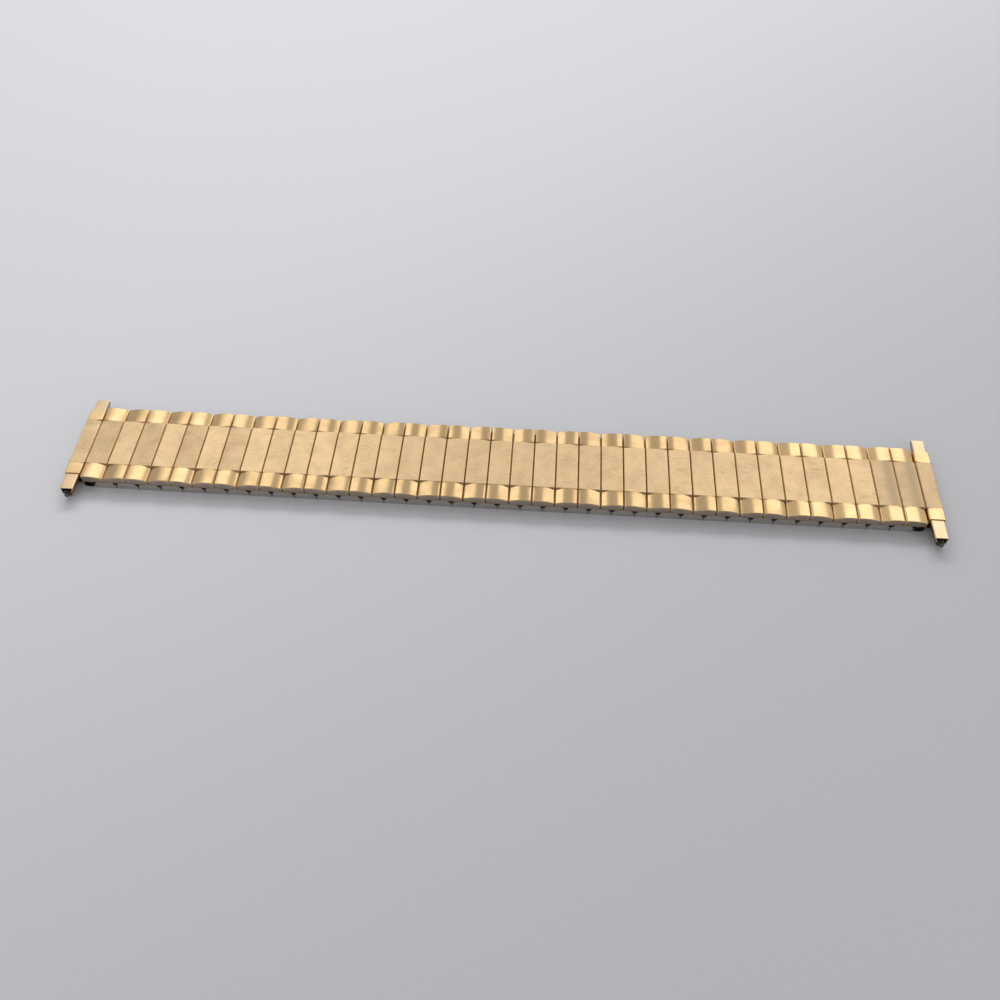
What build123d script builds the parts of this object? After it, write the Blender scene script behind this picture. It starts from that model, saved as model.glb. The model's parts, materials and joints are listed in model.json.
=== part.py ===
from build123d import *
import os

os.makedirs("parts", exist_ok=True)

# Expansion watch band, laid out flat with its gold side up.
# X runs along the band, Y across it and Z up from the table, with the origin under the middle link.
# Everything on the right half has its mirror image on the left. All lengths are in millimetres.

# The two rows of links
cap_count = 37
pitch = 4.0
link_gap = 0.25
band_width = 16.4
band_height = 3.05
lower_height = 1.5
row_clearance = 0.05

# Every third lower link swings on the bows of the cap beside it, counted outwards from the middle
swing_interval_count = 3

# Gold caps, each one with the steel sleeve that it is folded round
satin_length = 10.0
arch_drop = 0.35
crown_drop = 0.03
arch_flat_count = 4
cap_wall = 0.22
cap_crown_thickness = 0.53
flange_thickness = 0.15

# Steel sleeves
sleeve_wall = 0.12
lower_bevel = 0.40
pivot_bevel = 0.50
slide_bevel = 0.30
end_room = 0.45

# Connecting bows, bent from flat strip
bow_width = 0.30
bow_thickness = 0.30
bow_arm_length = 2.40
bow_clearance = 0.05
bow_side_clearance = 0.02

# Leaf springs
leaf_width = 2.8
leaf_thickness = 0.10
leaf_clearance = 0.02
leaf_end_gap = 0.20

# End housings
housing_width = 2.80
housing_height = 3.00
housing_floor = 0.15
housing_length = 14.9
housing_wall = 0.20
housing_corner = 0.25
housing_inner_corner = 0.60

# End sliders, each with its reach from the band's centre line as the photograph shows it
slider_wall = 0.20
slider_clearance = 0.04
slider_length = 7.4
slider_lip = 0.70
slider_corner = 0.25
barrel_radius = 0.95
barrel_curl = 0.55
reach = {
    "left_near": 10.75,
    "left_far": 10.05,
    "right_near": 11.20,
    "right_far": 10.35,
}

# Rolled hooks that join the housings to the end links
hook_width = 1.80
hook_corner = 0.65
hook_inner_bevel = 0.43
tongue_floor = 0.85
tongue_height = 0.40
tongue_length = 13.0

# Spring bars
bar_radius = 0.70
tip_radius = 0.40
tip_length = 0.70

# One overrun serves all cuts
overrun = 0.5

# Values worked out from those above
link_width = pitch - link_gap
half_link = link_width / 2
half_band = band_width / 2
outer_steps = (cap_count - 1) // 2
middle_cap = outer_steps + 1
upper_floor = lower_height + row_clearance
flange_inside = half_band - flange_thickness
sleeve_end = flange_inside - end_room
pivot_offset = link_gap / 2 + pivot_bevel
pivot_height = lower_height - pivot_bevel
window_top = lower_height + overrun
bore_half = half_link - cap_wall
bore_floor = upper_floor + sleeve_wall
bore_top = band_height - cap_crown_thickness
slide_offset = bore_half - bow_side_clearance - bow_width / 2
web_inside = sleeve_end + bow_clearance
web_outside = web_inside + bow_thickness
arm_end = web_inside - bow_arm_length
upper_arm_floor = bore_floor + bow_clearance
upper_arm_top = upper_arm_floor + bow_thickness
lower_arm_floor = pivot_height - bow_thickness / 2
housing_inside = outer_steps * pitch + half_link + link_gap
housing_outside = housing_inside + housing_width
slider_offset = housing_wall + slider_clearance
slider_inside = housing_inside + slider_offset
slider_outside = housing_outside - slider_offset
slider_top = housing_height - slider_offset
barrel_x = slider_outside - barrel_radius
barrel_z = housing_floor + slider_offset + barrel_radius
half_leaf = leaf_thickness / 2


def along_band(y):
    """The plane across the band at this Y, drawn with X to the right and Z up, facing -Y."""
    return Plane.XZ.offset(-y)


def link_outline(inset=0):
    """A lower link's outline, or the bore that leaves an even wall of this thickness inside it."""
    side, floor, top = half_link - inset, inset, lower_height - inset
    shrink = (2 - 2**0.5) * inset
    base, pivot, slide = lower_bevel - shrink, pivot_bevel - shrink, slide_bevel - shrink
    return Polyline(
        (base - side, floor),
        (side - base, floor),
        (side, floor + base),
        (side, top - slide),
        (side - slide, top),
        (pivot - side, top),
        (-side, top - pivot),
        (-side, floor + base),
        close=True,
    )


# Gold cap with its sleeve: a flat satin centre between two arched, polished ends, a flange folded
# down over each end, and a window in the floor behind each flange for the bows
with BuildPart() as cap:
    with BuildSketch(Plane.XZ):
        with Locations((0, (upper_floor + band_height) / 2)):
            Rectangle(link_width, band_height - upper_floor)
    extrude(amount=satin_length / 2, both=True)
    with BuildSketch(along_band(-satin_length / 2)):
        with BuildLine():
            crown = band_height - crown_drop
            shoulder = band_height - arch_drop
            arch = ThreePointArc(
                (-half_link, shoulder), (0, crown), (half_link, shoulder), mode=Mode.PRIVATE
            )
            along_arch = [arch @ (i / arch_flat_count) for i in range(arch_flat_count + 1)]
            Polyline((-half_link, upper_floor), *along_arch, (half_link, upper_floor), close=True)
        make_face()
    extrude(amount=half_band - satin_length / 2)
    mirror(about=Plane.XZ)
    with BuildSketch(Plane.XZ):
        with Locations((0, (bore_floor + bore_top) / 2)):
            Rectangle(2 * bore_half, bore_top - bore_floor)
    extrude(amount=flange_inside, both=True, mode=Mode.SUBTRACT)
    with BuildSketch(along_band(-sleeve_end), along_band(flange_inside)):
        with Locations((0, bore_floor - (sleeve_wall + overrun) / 2)):
            Rectangle(2 * bore_half, sleeve_wall + overrun)
    extrude(amount=end_room, mode=Mode.SUBTRACT)

# Lower link: a closed steel sleeve with a window under each end of the cap, through which the
# bows reach down. Its pivot bevels stay inside a circle round the bow on which it swings.
with BuildPart() as lower_sleeve:
    with BuildSketch(Plane.XZ):
        with BuildLine():
            link_outline()
        make_face()
    extrude(amount=half_band, both=True)
    with BuildSketch(Plane.XZ):
        with BuildLine():
            link_outline(inset=sleeve_wall)
        make_face()
    extrude(amount=flange_inside, both=True, mode=Mode.SUBTRACT)
    with BuildSketch(along_band(-sleeve_end), along_band(flange_inside)):
        with Locations((0, (pivot_height + window_top) / 2)):
            Rectangle(link_width + overrun, window_top - pivot_height)
    extrude(amount=end_room, mode=Mode.SUBTRACT)


def leaf_spring(middle, tip):
    """A strip bowed between its middle and its tips, centred on these heights."""
    half_length = sleeve_end - leaf_end_gap
    with BuildPart() as leaf:
        with BuildSketch(Plane.YZ):
            with BuildLine():
                Polyline(
                    (-half_length, tip - half_leaf),
                    (0, middle - half_leaf),
                    (half_length, tip - half_leaf),
                    (half_length, tip + half_leaf),
                    (0, middle + half_leaf),
                    (-half_length, tip + half_leaf),
                    close=True,
                )
            make_face()
        extrude(amount=leaf_width / 2, both=True)
    return leaf.part


upper_leaf = leaf_spring(
    middle=bore_top - leaf_clearance - half_leaf,
    tip=upper_arm_top + bow_clearance + half_leaf,
)
lower_leaf = leaf_spring(
    middle=sleeve_wall + leaf_clearance + half_leaf,
    tip=lower_arm_floor - bow_clearance - half_leaf,
)

# Connecting bow at the far edge of the band: one arm in an upper sleeve, one in a lower sleeve,
# and a web that stands behind the cap's flange
with BuildPart() as bow:
    with BuildSketch(Plane.YZ):
        with BuildLine():
            Polyline(
                (arm_end, lower_arm_floor),
                (web_outside, lower_arm_floor),
                (web_outside, upper_arm_top),
                (arm_end, upper_arm_top),
                (arm_end, upper_arm_floor),
                (web_inside, upper_arm_floor),
                (web_inside, lower_arm_floor + bow_thickness),
                (arm_end, lower_arm_floor + bow_thickness),
                close=True,
            )
        make_face()
    extrude(amount=bow_width / 2, both=True)

# Rolled steel hook: it hangs on the end link's bows and holds the housing by a tongue
hook_inside = outer_steps * pitch + link_gap / 2
hook_outside = hook_inside + hook_width
hook_middle = (hook_inside + hook_outside) / 2
with BuildPart() as hook:
    with BuildSketch(Plane.XZ) as hook_outline:
        with BuildLine():
            Polyline(
                (hook_inside + lower_bevel, 0),
                (hook_outside, 0),
                (hook_outside, lower_height),
                (hook_inside + pivot_bevel, lower_height),
                (hook_inside, pivot_height),
                (hook_inside, lower_bevel),
                close=True,
            )
        make_face()
        fillet(hook_outline.vertices().group_by(Axis.X)[-1], radius=hook_corner)
    extrude(amount=flange_inside, both=True)
    with BuildSketch(Plane.XZ):
        tongue_start = hook_outside - sleeve_wall
        with Locations(((tongue_start + housing_inside) / 2, tongue_floor + tongue_height / 2)):
            Rectangle(housing_inside - tongue_start, tongue_height)
    extrude(amount=tongue_length / 2, both=True)
    with BuildSketch(Plane.XZ) as hook_bore:
        with Locations((hook_middle, lower_height / 2)):
            Rectangle(hook_width - 2 * sleeve_wall, lower_height - 2 * sleeve_wall)
        chamfer(hook_bore.vertices(), length=hook_inner_bevel)
    extrude(amount=flange_inside, both=True, mode=Mode.SUBTRACT)
    with BuildSketch(along_band(-sleeve_end), along_band(flange_inside)):
        with Locations((hook_middle, (pivot_height + window_top) / 2)):
            Rectangle(hook_width + overrun, window_top - pivot_height)
    extrude(amount=end_room, mode=Mode.SUBTRACT)

# End housing: a gold D-shaped tube across the band, rounded below round the sliders' barrels
housing_middle = (housing_inside + housing_outside) / 2
with BuildPart() as housing:
    with BuildSketch(Plane.XZ) as housing_outline:
        with Locations((housing_middle, (housing_floor + housing_height) / 2)):
            Rectangle(housing_width, housing_height - housing_floor)
        fillet(housing_outline.vertices().group_by(Axis.Y)[-1], radius=housing_corner)
        base = housing_outline.vertices().group_by(Axis.Y)[0].sort_by(Axis.X)
        fillet(base[-1], radius=barrel_radius + slider_offset)
        fillet(base[0], radius=housing_inner_corner)
    extrude(amount=housing_length / 2, both=True)
    with BuildSketch(Plane.XZ) as housing_bore:
        with Locations((housing_middle, (housing_floor + housing_height) / 2)):
            Rectangle(
                housing_width - 2 * housing_wall,
                housing_height - housing_floor - 2 * housing_wall,
            )
        base = housing_bore.vertices().group_by(Axis.Y)[0].sort_by(Axis.X)
        fillet(base[-1], radius=barrel_radius + slider_clearance)
        chamfer(base[0], length=housing_inner_corner - housing_wall)
    extrude(amount=housing_length / 2, both=True, mode=Mode.SUBTRACT)


def end_slider(side_reach):
    """A slider on the right half's far side: a top plate with a short lip on its inner edge,
    curled round at its outer edge into a barrel for the spring bar."""
    with BuildPart() as slider:
        with BuildSketch(along_band(side_reach)) as section:
            with Locations((barrel_x, barrel_z)):
                Circle(barrel_radius)
            with Locations((barrel_x, (barrel_z + slider_top) / 2)):
                Rectangle(2 * barrel_radius, slider_top - barrel_z)
            with Locations(((slider_inside + barrel_x) / 2, slider_top - slider_wall / 2)):
                Rectangle(barrel_x - slider_inside, slider_wall)
            with Locations((slider_inside + slider_wall / 2, slider_top - slider_lip / 2)):
                Rectangle(slider_wall, slider_lip)
            with Locations((barrel_x, barrel_z)):
                Circle(barrel_radius - slider_wall, mode=Mode.SUBTRACT)
            ceiling = slider_top - slider_wall
            with Locations((barrel_x, (barrel_z + ceiling) / 2)):
                Rectangle(
                    2 * (barrel_radius - slider_wall),
                    ceiling - barrel_z,
                    mode=Mode.SUBTRACT,
                )
            mouth_floor = barrel_z + barrel_curl
            with Locations((barrel_x - barrel_radius, (mouth_floor + ceiling) / 2)):
                Rectangle(
                    2 * slider_wall + slider_clearance,
                    ceiling - mouth_floor,
                    mode=Mode.SUBTRACT,
                )
            rim = section.vertices().group_by(Axis.Y)[-1].sort_by(Axis.X)
            chamfer(rim[-1], length=slider_corner)
        extrude(amount=slider_length)
    return slider.part


def spring_bar(near_reach, far_reach):
    """The right half's spring bar: a tube that runs out to the sliders' mouths, and at each end
    the thin tip that goes into a watch lug."""
    with BuildPart() as bar:
        with BuildSketch(Plane.XY.offset(barrel_z)):
            with BuildLine():
                Polyline(
                    (barrel_x, -near_reach - tip_length),
                    (barrel_x + tip_radius, -near_reach - tip_length),
                    (barrel_x + tip_radius, -near_reach),
                    (barrel_x + bar_radius, -near_reach),
                    (barrel_x + bar_radius, far_reach),
                    (barrel_x + tip_radius, far_reach),
                    (barrel_x + tip_radius, far_reach + tip_length),
                    (barrel_x, far_reach + tip_length),
                    close=True,
                )
            make_face()
        revolve(axis=Axis((barrel_x, 0, barrel_z), (0, 1, 0)))
    return bar.part


def placed(solid, x=0, left=False, near=False):
    """A copy moved along the band, then mirrored to the left half or to the near edge."""
    copy = Location((x, 0, 0)) * solid
    if near:
        copy = mirror(copy, about=Plane.XZ)
    if left:
        copy = mirror(copy, about=Plane.YZ)
    return copy


def write(name, solids):
    """Write one node: a single solid, or a group of separate ones."""
    node = solids[0] if len(solids) == 1 else Compound(children=solids)
    node.label = name
    export_step(node, f"parts/{name}.step")


def bow_pair(x, left):
    """The near and far bows at this distance from the band's middle."""
    return [placed(bow.part, x, left, near) for near in (False, True)]


def lower_link(cap_x, left):
    """The lower sleeve outward of the cap at this distance, with its leaf spring."""
    x = cap_x + pitch / 2
    return [placed(solid, x, left) for solid in (lower_sleeve.part, lower_leaf)]


# Middle link, which carries a lower link on each side
middle_link = [cap.part, upper_leaf]
for left in (False, True):
    middle_link += bow_pair(pivot_offset, left) + lower_link(0, left)
write(f"link_{middle_cap:02d}", middle_link)

# The other links, outwards from the middle on both halves
for left in (False, True):
    for step in range(1, outer_steps + 1):
        number = middle_cap - step if left else middle_cap + step
        x = step * pitch
        link = [placed(solid, x, left) for solid in (cap.part, upper_leaf)]
        link += bow_pair(x + pivot_offset, left) + bow_pair(x - slide_offset, left)
        if step < outer_steps and step % swing_interval_count == 1:
            write(f"lower_link_{number:02d}", lower_link(x, left))
        elif step < outer_steps:
            link += lower_link(x, left)
        write(f"link_{number:02d}", link)

# Both ends
for side in ("left", "right"):
    left = side == "left"
    far_reach, near_reach = reach[f"{side}_far"], reach[f"{side}_near"]
    write(f"end_hook_{side}", [placed(hook.part, left=left)])
    write(f"end_housing_{side}", [placed(housing.part, left=left)])
    write(f"slider_{side}_far", [placed(end_slider(far_reach), left=left)])
    write(f"slider_{side}_near", [placed(end_slider(near_reach), left=left, near=True)])
    write(f"spring_bar_{side}", [placed(spring_bar(near_reach, far_reach), left=left)])
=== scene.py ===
"""An expansion watch band: gold capped links over staggered steel sleeves, with telescoping ends."""

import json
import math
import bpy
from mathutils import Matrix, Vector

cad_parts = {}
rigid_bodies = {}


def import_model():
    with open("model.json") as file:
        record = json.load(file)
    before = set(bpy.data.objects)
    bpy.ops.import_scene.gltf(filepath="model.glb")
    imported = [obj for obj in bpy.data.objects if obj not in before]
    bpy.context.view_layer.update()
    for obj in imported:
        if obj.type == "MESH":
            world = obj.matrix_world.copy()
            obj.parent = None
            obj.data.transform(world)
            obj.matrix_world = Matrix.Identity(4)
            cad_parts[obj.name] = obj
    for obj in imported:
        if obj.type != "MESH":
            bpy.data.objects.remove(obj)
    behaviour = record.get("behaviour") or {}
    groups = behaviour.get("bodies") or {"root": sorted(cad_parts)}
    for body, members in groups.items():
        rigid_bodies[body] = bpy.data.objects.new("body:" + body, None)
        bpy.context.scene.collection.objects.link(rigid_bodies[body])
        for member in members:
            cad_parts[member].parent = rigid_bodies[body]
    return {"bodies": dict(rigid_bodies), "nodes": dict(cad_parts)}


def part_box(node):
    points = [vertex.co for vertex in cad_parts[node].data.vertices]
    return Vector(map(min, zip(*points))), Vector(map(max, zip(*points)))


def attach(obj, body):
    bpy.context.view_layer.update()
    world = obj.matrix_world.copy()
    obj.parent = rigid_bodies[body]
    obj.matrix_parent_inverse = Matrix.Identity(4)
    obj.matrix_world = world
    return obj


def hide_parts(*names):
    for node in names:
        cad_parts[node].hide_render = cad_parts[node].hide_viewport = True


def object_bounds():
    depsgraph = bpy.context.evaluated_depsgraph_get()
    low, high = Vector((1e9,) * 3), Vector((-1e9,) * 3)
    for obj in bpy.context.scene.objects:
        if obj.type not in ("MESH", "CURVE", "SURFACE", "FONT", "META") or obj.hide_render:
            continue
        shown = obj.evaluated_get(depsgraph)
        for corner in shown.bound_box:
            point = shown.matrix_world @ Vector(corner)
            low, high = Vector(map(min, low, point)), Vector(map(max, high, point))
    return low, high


bl_info = {
    "name": "Expansion Watch Band",
    "version": (1, 0, 0),
    "blender": (4, 5, 0),
    "location": "View3D > Sidebar > Watch Band",
    "description": "Models the links and ends of an expansion watch band and gives them their finishes",
    "category": "Add Mesh",
}

import bmesh
import bpy
from bpy.props import FloatProperty, FloatVectorProperty, IntProperty, PointerProperty
from mathutils import Matrix, Vector

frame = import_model()
cad_low, cad_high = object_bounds()

MM = 0.001
NEAR, FAR = -1, 1
LEFT, RIGHT = -1, 1
SIDES = ((LEFT, "left"), (RIGHT, "right"))
EDGES = ((NEAR, "near"), (FAR, "far"))
CAPS = sorted(name for name in frame["nodes"] if name.startswith("link_"))
MIDDLE = (len(CAPS) + 1) // 2
UPPER_FLOOR = 1.55 * MM
LOWER_TOP = 1.50 * MM
# How many degrees a cap's top leans, from the middle of the band to its ends
LEANS = (0.3, 0.6, 1.0)
# How far the bows stand from their cap's middle: the ones that a lower sleeve swings on, and the
# ones that slide
SWING_BOW = 0.625 * MM
SLIDE_BOW = 1.485 * MM
BOW_FLOOR = 0.85 * MM
# How high the windows for the bows begin in the lower sleeves and the hooks
SILL = 1.0 * MM
# Strip lights over the far side, from left to right: turn about the band in degrees, width in
# degrees, distance in metres and brightness
STRIPS = ((-44, 9.5, 0.26, 0.45), (-27.5, 25.6, 0.24, 0.85), (28, 36, 1.20, 0.85))


def length(name, default, description):
    """A size in metres that a user may change, given here in millimetres."""
    return FloatProperty(
        name=name, description=description, default=default * MM, min=0.0, unit="LENGTH", precision=5
    )


def angle(name, default, description):
    """An angle that a user may change, given here in degrees."""
    return FloatProperty(
        name=name, description=description, default=math.radians(default), subtype="ANGLE"
    )


def light(name, default, description):
    return FloatProperty(name=name, description=description, default=default, min=0.0)


def colour(name, default, description):
    """A colour that a user may change, in linear values."""
    return FloatVectorProperty(
        name=name, description=description, default=default, size=3, min=0.0, max=1.0, subtype="COLOR"
    )


class BandLinkSizes(bpy.types.PropertyGroup):
    """Sizes of the two rows of links."""

    pitch: length("Pitch", 4.0, "Distance from one link to the next")
    gap: length("Gap", 0.25, "Gap between neighbouring links")
    width: length("Band Width", 16.4, "Length of a link across the band")
    satin: length("Satin Length", 10.0, "Length of the flat satin centre of a cap")
    step: length("Step Length", 0.10, "Length of the step between the satin centre and an arched end")
    arch_drop: length("Arch Drop", 0.43, "How far an arched end falls away at its lower long edge")
    arch_rise: length("Arch Rise", 0.10, "How far an arched end falls away at its higher long edge")
    crown_drop: length("Crown Drop", 0.04, "How far the middle of the arch lies below the satin centre")
    edge: length("Edge Radius", 0.11, "Rounding of a cap's upper edges")
    far_flare: length("Far Flare", 0.06, "How much wider a cap grows on each side towards its far end")
    base_round: length("Base Round", 0.32, "Rounding of a lower sleeve's lower edges")
    pivot_round: length("Pivot Corner", 0.50, "Corner cut of a lower sleeve beside the bow it swings on")
    slide_round: length("Slide Corner", 0.30, "Corner cut of a lower sleeve beside its sliding bow")
    notch: length("Notch", 0.30, "Width of the notch at each upper corner of a lower sleeve's end wall")
    gold_wall: length("Gold Thickness", 0.10, "Thickness of the gold shell")
    sleeve_wall: length("Sleeve Wall", 0.12, "Thickness of the steel sleeves")
    flange: length("Flange", 0.15, "Thickness of the end walls that are folded down")
    window: length("Window", 0.45, "Length of the opening for the bows at each end of a sleeve")
    bow: length("Bow Thickness", 0.30, "Thickness of the strip that a connecting bow is bent from")
    arm: length("Bow Arm", 2.40, "Length of a bow's arms")
    leaf: length("Leaf Thickness", 0.10, "Thickness of a leaf spring")
    leaf_width: length("Leaf Width", 2.8, "Width of a leaf spring")
    arch_rows: IntProperty(
        name="Arch Rows", description="Strips across an arched end", default=10, min=4, max=24
    )


class BandEndSizes(bpy.types.PropertyGroup):
    """Sizes of the telescoping ends."""

    housing_wall: length("Housing Wall", 0.20, "Thickness of the end housing")
    housing_corner: length("Housing Corner", 0.25, "Rounding of the housing's upper corners")
    housing_round: length("Housing Round", 1.19, "Rounding of the housing's lower outer corner")
    housing_inner: length("Housing Inner Round", 0.60, "Rounding of the housing's lower inner corner")
    brushed: length("Brushed Length", 10.0, "Length of the housing's brushed centre")
    slider_wall: length("Slider Wall", 0.20, "Thickness of the sheet that a slider is rolled from")
    slider_lip: length("Slider Lip", 0.70, "Height of the lip on a slider's inner edge")
    barrel: length("Barrel Radius", 0.95, "Outer radius of the barrel along a slider's outer edge")
    bar: length("Bar Radius", 0.70, "Radius of the spring bar's tube")
    tip: length("Tip Radius", 0.40, "Radius of the spring bar's tips")
    hook_round: length("Hook Round", 0.65, "Rounding of the rolled hook's outer corners")


class BandFinishes(bpy.types.PropertyGroup):
    """Colours of the finishes, and of the painted shade on some of them."""

    satin: colour("Satin Gold", (0.84, 0.59, 0.33), "Brushed and slightly worn gold plate")
    polished: colour("Polished Gold", (0.95, 0.65, 0.33), "Polished gold plate")
    flank: colour("Gold Flank", (0.88, 0.65, 0.32), "Stained gold on the long side walls in the gaps")
    stain: colour("Steel Stain", (0.66, 0.46, 0.21), "Stained steel under the gaps between the caps")
    # Painted shade: a darker gold for walls that face down or towards the camera
    end_wall_shade: colour("End Wall", (0.48, 0.40, 0.335), "Gold darkened as painted shade, on the end walls that are folded down")
    steel: colour("Steel", (0.62, 0.58, 0.55), "Brushed stainless steel")
    # Painted shade: steel darkened for the hooks and the spring bars
    dark_steel: colour("Shaded Steel", (0.16, 0.15, 0.14), "Steel with painted shade")
    # Painted shade: the grey that the last caps at the right take from how they lean
    greyed_shade: colour("Greyed Gold Shade", (0.50, 0.36, 0.21), "Greyed gold on the last caps at the right")
    # Painted shade: the dark brown laid into the step between satin and polish
    seam: colour("Seam Shade", (0.24, 0.145, 0.070), "Dark film in the step between satin and polish")
    slider: colour("Slider Gold", (0.90, 0.65, 0.40), "Pinkish, finely ground gold plate on the sliders")
    # Brown for smudges, and for painted shade in corners, along seams and low on the walls
    brown_smudge_and_shade: colour("Smudge And Shade", (0.38, 0.27, 0.15), "Brown film in corners and along seams")
    floor: colour("Floor", (0.603, 0.603, 0.626), "Pale table top")


class BandStage(bpy.types.PropertyGroup):
    """The camera and the lights."""

    azimuth: angle("Azimuth", 3.757, "Camera angle round the band")
    elevation: angle("Elevation", 53.351, "Camera angle above the table")
    roll: angle("Roll", 0.087, "Turn of the picture")
    distance: length("Distance", 162.925, "Camera distance from its aim")
    lens: FloatProperty(name="Lens", description="Focal length", default=33.84, min=1.0, unit="CAMERA")
    sky: light("Room Light", 0.56, "Strength of the even room light")
    key: light("Key Light", 6.0, "Power of the soft light behind the band")
    strips: light("Strip Lights", 1.0, "Brightness of the strip lights that the polish mirrors")


# Modelling helpers


def nothing_selected():
    bpy.ops.object.select_all(action="DESELECT")


def only(piece):
    """Makes this piece the only selected and the active one."""
    nothing_selected()
    piece.select_set(True)
    bpy.context.view_layer.objects.active = piece
    return piece


def settle(piece, name):
    """Puts the piece's place into its mesh and names it."""
    only(piece)
    bpy.ops.object.transform_apply(location=True, rotation=True, scale=True)
    piece.name = piece.data.name = name
    return piece


def block(name, low, high):
    """A block between two corners, in metres."""
    low, high = Vector(low), Vector(high)
    nothing_selected()
    bpy.ops.mesh.primitive_cube_add(size=1.0, location=(low + high) / 2, scale=high - low)
    return settle(bpy.context.object, name)


def pick(kind, test):
    """In edit mode, selects the elements of this kind that pass a test, and nothing else."""
    bpy.ops.mesh.select_mode(type=kind)
    bpy.ops.mesh.select_all(action="DESELECT")
    mesh = bmesh.from_edit_mesh(bpy.context.object.data)
    elements = {"VERT": mesh.verts, "EDGE": mesh.edges, "FACE": mesh.faces}[kind]
    found = [element for element in elements if test(element)]
    for element in found:
        element.select_set(True)
    mesh.select_flush_mode()
    bmesh.update_edit_mesh(bpy.context.object.data)
    return len(found)


def middle(edge):
    return (edge.verts[0].co + edge.verts[1].co) / 2


def runs(edge, axis):
    """Whether an edge runs along this axis."""
    way = (edge.verts[1].co - edge.verts[0].co).normalized()
    return abs(way[axis]) > 0.999


def near_to(a, b, by=0.002 * MM):
    return abs(a - b) < by


def along_y(x=None, z=None):
    """A test for edges that run across the band, at this x and z where they are given."""

    def test(edge):
        at = middle(edge)
        return runs(edge, 1) and (x is None or near_to(at.x, x)) and (z is None or near_to(at.z, z))

    return test


def cut(axis, places):
    """Bisects the whole mesh square to an axis at each of these places."""
    normal = Vector((0, 0, 0))
    normal[axis] = 1
    for place in places:
        bpy.ops.mesh.select_all(action="SELECT")
        bpy.ops.mesh.bisect(plane_co=normal * place, plane_no=normal, threshold=0.0005 * MM)


def round_edges(test, radius, segments, profile=0.5):
    """Bevels the edges that pass a test; a profile of 0.25 cuts the corner straight."""
    if pick("EDGE", test):
        bpy.ops.mesh.bevel(
            offset=radius, offset_type="OFFSET", segments=segments, profile=profile, affect="EDGES"
        )


def extrude(*way):
    """Extrudes the selection and moves it this far."""
    bpy.ops.mesh.extrude_region_move(TRANSFORM_OT_translate={"value": way})


def remove_faces(test):
    if pick("FACE", test):
        bpy.ops.mesh.delete(type="FACE")


def open_edit(piece):
    only(piece)
    bpy.ops.object.mode_set(mode="EDIT")


def close_edit():
    bpy.ops.object.mode_set(mode="OBJECT")


def modify(piece, kind, **settings):
    """Adds a modifier with these settings and applies it."""
    only(piece)
    modifier = piece.modifiers.new("Shape", kind)
    for key, value in settings.items():
        setattr(modifier, key, value)
    bpy.ops.object.modifier_apply(modifier=modifier.name)


def thicken(piece, wall):
    """Gives an open shell its wall, inwards."""
    modify(piece, "SOLIDIFY", thickness=wall, offset=-1.0, use_even_offset=True)


def soften(piece, width):
    """Bevels the sharp edges of a finished shell a little."""
    sharp = math.radians(60)
    modify(piece, "BEVEL", width=width, segments=2, limit_method="ANGLE", angle_limit=sharp)


def smooth(piece, angle=35):
    only(piece)
    bpy.ops.object.shade_smooth_by_angle(angle=math.radians(angle))


def crisp(piece):
    """Weights the normals by face area, so that large faces look flat and edges catch the light."""
    modify(piece, "WEIGHTED_NORMAL", keep_sharp=True)


def flip(piece):
    open_edit(piece)
    bpy.ops.mesh.select_all(action="SELECT")
    bpy.ops.mesh.flip_normals()
    close_edit()


def outward(piece):
    """Turns a mesh's faces outwards if its volume is negative."""
    mesh = bmesh.new()
    mesh.from_mesh(piece.data)
    volume = mesh.calc_volume(signed=True)
    mesh.free()
    if volume < 0:
        flip(piece)


def copied(pattern, name, x=0.0, side=RIGHT, edge=FAR):
    """A copy with its own mesh, mirrored to a side and an edge, and moved along the band."""
    only(pattern)
    bpy.ops.object.duplicate(linked=False)
    copy = bpy.context.object
    copy.matrix_world = Matrix.Translation((x, 0, 0)) @ Matrix.Diagonal((side, edge, 1, 1))
    settle(copy, name)
    if side * edge < 0:
        outward(copy)
    return copy


def joined(pieces, name):
    """Several pieces as one object, in which each stays a separate solid."""
    only(pieces[0])
    for piece in pieces[1:]:
        piece.select_set(True)
    bpy.ops.object.join()
    pieces[0].name = pieces[0].data.name = name
    return pieces[0]


def discard(*patterns):
    for pattern in patterns:
        only(pattern)
        bpy.ops.object.delete()


def dress(piece, *finishes, choose=None):
    """Gives a piece its finishes by name, and each face the one that choose names by number."""
    piece.data.materials.clear()
    for name in finishes:
        piece.data.materials.append(bpy.data.materials[name])
    if choose:
        for face in piece.data.polygons:
            face.material_index = int(choose(face))
    return piece


def mount(piece, body, slot, *nodes):
    """Lets a piece ride on a body and stand for CAD nodes; the slot is not used."""
    crisp(piece)
    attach(piece, body)
    if nodes:
        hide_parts(*nodes)
    return piece


# Materials


def join(tree, value, socket):
    """Links a value to an input, or sets the input to it where it is a plain one."""
    if isinstance(value, bpy.types.NodeSocket):
        tree.links.new(value, socket)
    else:
        socket.default_value = value


def add(tree, kind, values=None, **settings):
    """A shader node with settings, and with its inputs linked or set by name or number."""
    node = tree.nodes.new(kind)
    for key, value in settings.items():
        setattr(node, key, value)
    for key, value in (values or {}).items():
        join(tree, value, node.inputs[key])
    return node


def math_node(tree, operation, *values, clamp=False):
    values = dict(enumerate(values))
    return add(tree, "ShaderNodeMath", values, operation=operation, use_clamp=clamp).outputs[0]


def times(tree, value, factor):
    return math_node(tree, "MULTIPLY", value, factor)


def times_plus(tree, value, factor, plus):
    return math_node(tree, "MULTIPLY_ADD", value, factor, plus)


def less(tree, value, other):
    return math_node(tree, "SUBTRACT", value, other)


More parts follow.
